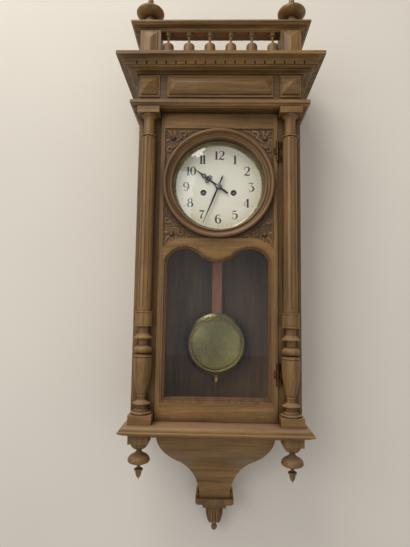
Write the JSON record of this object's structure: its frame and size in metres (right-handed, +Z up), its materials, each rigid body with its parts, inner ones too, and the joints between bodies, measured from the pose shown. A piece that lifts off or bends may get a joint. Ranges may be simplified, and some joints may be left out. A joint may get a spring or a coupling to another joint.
{
  "type": "striking wall clock",
  "caption": "Spring-driven striking wall clock in a carved walnut case: gallery with finials, dentilled cornice, fluted columns, glazed door and a moulded console below.",
  "frame": {"origin": "centre of the hanging hole, in the wall plane", "axes": "+Z up, +Y into the wall, the dial faces -Y, +X to the right seen from the front"},
  "size_m": [0.375, 0.182, 1.0382],
  "materials": {
    "walnut": "satin shellac polish",
    "dark_walnut": "satin, darkened in the recesses",
    "brass": "satin",
    "aged_brass": "tarnished, greenish",
    "steel": "satin",
    "blued_steel": "blued, near black",
    "iron": "matt black",
    "dial_enamel": "satin cream",
    "glass": "clear",
    "rod_wood": "satin red brown"
  },
  "bodies": {
    "case": {"backboard": "dark_walnut", "case_boards": "walnut", "case_frame": "walnut", "frieze_board": "walnut", "frieze_blocks": "walnut", "architrave": "walnut", "crown_moulding": "walnut", "dentil_strip": "walnut", "cornice_board": "walnut", "gallery_rail": "walnut", "gallery_posts": "walnut", "gallery_spindles": "walnut", "finials": "walnut", "column_blocks": "walnut", "columns": "walnut", "ledge": "walnut", "base_moulding": "dark_walnut", "pendants": "walnut", "console": "walnut", "console_drop": "walnut", "hanging_plate": "brass", "hinge_leaves": "brass", "movement_bracket": "iron", "back_plate": "brass", "front_plate": "brass", "dial": "dial_enamel", "dial_bezel": "aged_brass", "suspension": "brass", "gong": "blued_steel"},
    "door": {"door_stiles": "walnut", "door_rails": "walnut", "scallop_rail": "walnut", "spandrel_panel": "dark_walnut", "dial_ring": "walnut", "door_glass": "glass", "glass_beads": "walnut", "door_hinge_leaves": "brass"},
    "pendulum": {"pendulum_rod": "rod_wood", "pendulum_fittings": "steel", "bob": "aged_brass"},
    "rating_nut": {"rating_nut": "brass"},
    "pallets": {"pallets": "steel"},
    "centre_arbor": {"centre_wheel": "brass", "cannon_pinion": "brass", "minute_hand": "blued_steel"},
    "hour_pipe": {"hour_wheel": "brass", "hour_hand": "blued_steel"},
    "minute_wheel": {"minute_wheel": "brass"},
    "second_wheel": {"second_wheel": "brass"},
    "third_wheel": {"third_wheel": "brass"},
    "escape_wheel": {"escape_wheel": "brass"},
    "time_barrel": {"time_barrel": "brass"},
    "strike_barrel": {"strike_barrel": "brass"},
    "time_winder": {"time_winder": "steel"},
    "strike_winder": {"strike_winder": "steel"},
    "pin_wheel": {"pin_wheel": "brass"},
    "gathering_wheel": {"gathering_wheel": "brass"},
    "warning_wheel": {"warning_wheel": "brass"},
    "fly": {"fly": "brass"},
    "hammer": {"hammer": "steel"}
  },
  "joints": [
    {"name": "door_hinge", "type": "hinge", "parent": "case", "child": "door", "pos_m": [0.10825, -0.1346, -0.17], "axis": [0, 0, 1], "range_deg": [0, 75]},
    {"name": "pendulum_swing", "type": "hinge", "parent": "case", "child": "pendulum", "pos_m": [0, -0.04, -0.11765], "axis": [0, 1, 0], "range_deg": [-4, 4]},
    {"name": "rating_nut_turn", "type": "hinge", "parent": "pendulum", "child": "rating_nut", "pos_m": [0, -0.04, -0.53865], "axis": [0, 0, 1], "continuous": true},
    {"name": "pallet_rock", "type": "hinge", "parent": "case", "child": "pallets", "pos_m": [0, -0.07, -0.11765], "axis": [0, 1, 0], "range_deg": [-4, 4]},
    {"name": "escape_turn", "type": "hinge", "parent": "case", "child": "escape_wheel", "pos_m": [0, -0.078, -0.13462], "axis": [0, 1, 0], "continuous": true},
    {"name": "third_turn", "type": "hinge", "parent": "case", "child": "third_wheel", "pos_m": [0.01185, -0.078, -0.14948], "axis": [0, 1, 0], "continuous": true},
    {"name": "minute_turn", "type": "hinge", "parent": "case", "child": "centre_arbor", "pos_m": [0, -0.078, -0.17], "axis": [0, 1, 0], "continuous": true},
    {"name": "minute_wheel_turn", "type": "hinge", "parent": "case", "child": "minute_wheel", "pos_m": [-0.00849, -0.104, -0.16151], "axis": [0, 1, 0], "continuous": true},
    {"name": "hour_turn", "type": "hinge", "parent": "case", "child": "hour_pipe", "pos_m": [0, -0.108, -0.17], "axis": [0, 1, 0], "continuous": true},
    {"name": "second_turn", "type": "hinge", "parent": "case", "child": "second_wheel", "pos_m": [0.00597, -0.078, -0.19396], "axis": [0, 1, 0], "continuous": true},
    {"name": "time_barrel_turn", "type": "hinge", "parent": "case", "child": "time_barrel", "pos_m": [0.0285, -0.08, -0.1814], "axis": [0, 1, 0], "continuous": true},
    {"name": "time_winding", "type": "hinge", "parent": "case", "child": "time_winder", "pos_m": [0.0285, -0.08, -0.1814], "axis": [0, 1, 0], "continuous": true},
    {"name": "fly_turn", "type": "hinge", "parent": "case", "child": "fly", "pos_m": [-0.03297, -0.078, -0.11857], "axis": [0, 1, 0], "continuous": true},
    {"name": "warning_turn", "type": "hinge", "parent": "case", "child": "warning_wheel", "pos_m": [-0.02191, -0.078, -0.12631], "axis": [0, 1, 0], "continuous": true},
    {"name": "gathering_turn", "type": "hinge", "parent": "case", "child": "gathering_wheel", "pos_m": [-0.02586, -0.078, -0.14104], "axis": [0, 1, 0], "continuous": true},
    {"name": "pin_turn", "type": "hinge", "parent": "case", "child": "pin_wheel", "pos_m": [-0.03604, -0.078, -0.15673], "axis": [0, 1, 0], "continuous": true},
    {"name": "strike_barrel_turn", "type": "hinge", "parent": "case", "child": "strike_barrel", "pos_m": [-0.0285, -0.08, -0.1814], "axis": [0, 1, 0], "continuous": true},
    {"name": "strike_winding", "type": "hinge", "parent": "case", "child": "strike_winder", "pos_m": [-0.0285, -0.08, -0.1814], "axis": [0, 1, 0], "continuous": true},
    {"name": "hammer_lift", "type": "hinge", "parent": "case", "child": "hammer", "pos_m": [-0.0415, -0.06, -0.136], "axis": [0, 1, 0], "range_deg": [0, 12]}
  ],
  "couplings": [
    {"joint": "pallet_rock", "follows": "pendulum_swing", "ratio": 1},
    {"joint": "third_turn", "follows": "minute_turn", "ratio": -10.286},
    {"joint": "escape_turn", "follows": "minute_turn", "ratio": 101.39},
    {"joint": "minute_wheel_turn", "follows": "minute_turn", "ratio": -0.33333},
    {"joint": "hour_turn", "follows": "minute_turn", "ratio": 0.083333},
    {"joint": "second_turn", "follows": "minute_turn", "ratio": -0.16667},
    {"joint": "time_barrel_turn", "follows": "minute_turn", "ratio": 0.02381},
    {"joint": "warning_turn", "follows": "gathering_turn", "ratio": -7.7143},
    {"joint": "fly_turn", "follows": "gathering_turn", "ratio": 61.714},
    {"joint": "pin_turn", "follows": "gathering_turn", "ratio": -0.13333},
    {"joint": "strike_barrel_turn", "follows": "gathering_turn", "ratio": 0.019048}
  ]
}
